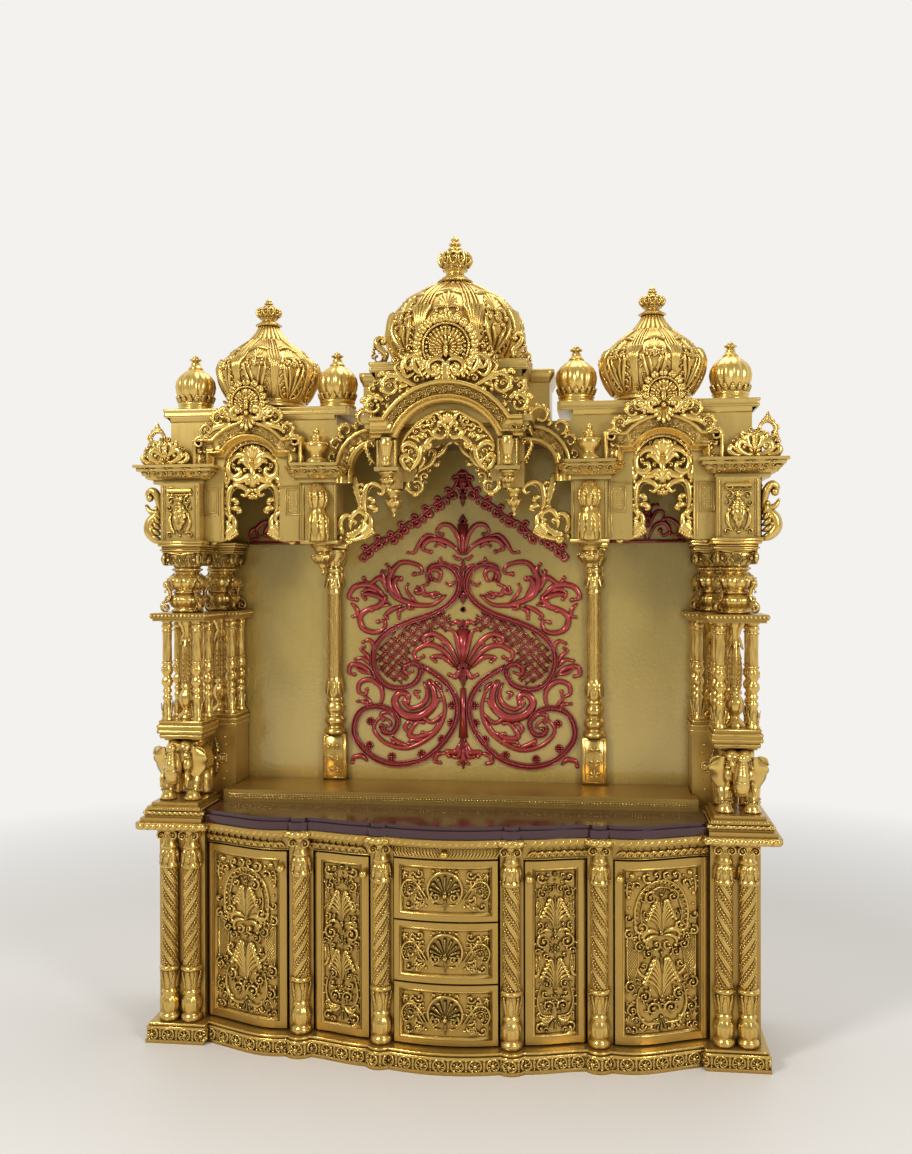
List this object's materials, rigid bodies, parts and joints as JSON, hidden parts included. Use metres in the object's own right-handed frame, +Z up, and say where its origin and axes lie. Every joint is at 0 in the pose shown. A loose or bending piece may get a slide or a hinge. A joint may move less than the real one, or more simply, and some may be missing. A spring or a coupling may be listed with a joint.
{
  "type": "pooja mandir",
  "caption": "Carved domed home shrine with arched canopy, columned niche and a serpentine cabinet with doors and drawers",
  "frame": {"origin": "on the floor, at the middle of the bounding box's bottom face", "axes": "+X to the viewer's right, +Y to the back, +Z up"},
  "size_m": [1.808, 0.5, 2.264],
  "materials": {
    "satin_gold": "satin gold lacquer over wood, slightly olive",
    "carved_gold": "bright metallic gold lacquer on carving, darker in the recesses",
    "pale_gold": "satin pale gold lacquer over wood",
    "gloss_gold": "high gloss olive gold lacquer with a slight orange-peel surface",
    "maroon_top": "dark maroon high gloss lacquer",
    "red_carving": "metallic brick red lacquer on carving",
    "brown_wood": "plain dark brown wood"
  },
  "bodies": {
    "mandir": {"plinth": "satin_gold", "cabinet_floor": "satin_gold", "cabinet_back": "satin_gold", "cabinet_sides": "satin_gold", "cabinet_partitions": "satin_gold", "front_stiles": "satin_gold", "frieze": "satin_gold", "base_piers": "satin_gold", "base_columns": "carved_gold", "pier_columns": "carved_gold", "drawer_runners": "brown_wood", "sub_top": "satin_gold", "rope_moulding": "carved_gold", "countertop": "maroon_top", "pier_caps": "satin_gold", "ledge": "satin_gold", "elephant_plinths": "satin_gold", "elephant_left": "carved_gold", "elephant_right": "carved_gold", "pier_blocks": "satin_gold", "rear_pedestals": "satin_gold", "colonettes": "carved_gold", "pier_vases": "carved_gold", "bead_slabs": "satin_gold", "pots": "carved_gold", "capitals": "carved_gold", "back_wall": "gloss_gold", "back_scrollwork": "red_carving", "back_pilasters": "satin_gold", "gable_trim": "red_carving", "wing_crests": "red_carving", "canopy_front": "pale_gold", "canopy_sides": "pale_gold", "cornice": "pale_gold", "side_archivolts": "carved_gold", "side_toranas": "carved_gold", "porch": "pale_gold", "porch_arch": "carved_gold", "porch_torana": "carved_gold", "inner_arch": "pale_gold", "half_arches": "carved_gold", "hanging_scrolls": "carved_gold", "pendants": "carved_gold", "urns": "carved_gold", "ceiling": "brown_wood", "side_roofs": "pale_gold", "centre_roof": "pale_gold", "centre_dome": "carved_gold", "side_domes": "carved_gold", "small_domes": "carved_gold", "crests": "carved_gold"},
    "door_left_wide_body": {"door_left_wide": "satin_gold"},
    "door_left_narrow_body": {"door_left_narrow": "satin_gold"},
    "door_right_narrow_body": {"door_right_narrow": "satin_gold"},
    "door_right_wide_body": {"door_right_wide": "satin_gold"},
    "drawer_top_body": {"drawer_top": "satin_gold"},
    "drawer_middle_body": {"drawer_middle": "satin_gold"},
    "drawer_bottom_body": {"drawer_bottom": "satin_gold"},
    "frieze_tray_body": {"frieze_tray": "satin_gold"}
  },
  "joints": [
    {"name": "door_left_wide_hinge", "type": "hinge", "parent": "mandir", "child": "door_left_wide_body", "pos_m": [-0.682, -0.05333, 0.3], "axis": [0, 0, -1], "range_deg": [0, 70]},
    {"name": "door_left_narrow_hinge", "type": "hinge", "parent": "mandir", "child": "door_left_narrow_body", "pos_m": [-0.358, -0.11981, 0.3], "axis": [0, 0, -1], "range_deg": [0, 70]},
    {"name": "door_right_narrow_hinge", "type": "hinge", "parent": "mandir", "child": "door_right_narrow_body", "pos_m": [0.358, -0.11981, 0.3], "axis": [0, 0, 1], "range_deg": [0, 70]},
    {"name": "door_right_wide_hinge", "type": "hinge", "parent": "mandir", "child": "door_right_wide_body", "pos_m": [0.682, -0.05333, 0.3], "axis": [0, 0, 1], "range_deg": [0, 70]},
    {"name": "drawer_top_slide", "type": "slide", "parent": "mandir", "child": "drawer_top_body", "axis": [0, -1, 0], "range_m": [0, 0.26]},
    {"name": "drawer_middle_slide", "type": "slide", "parent": "mandir", "child": "drawer_middle_body", "axis": [0, -1, 0], "range_m": [0, 0.26]},
    {"name": "drawer_bottom_slide", "type": "slide", "parent": "mandir", "child": "drawer_bottom_body", "axis": [0, -1, 0], "range_m": [0, 0.26]},
    {"name": "frieze_tray_slide", "type": "slide", "parent": "mandir", "child": "frieze_tray_body", "axis": [0, -1, 0], "range_m": [0, 0.2]}
  ]
}
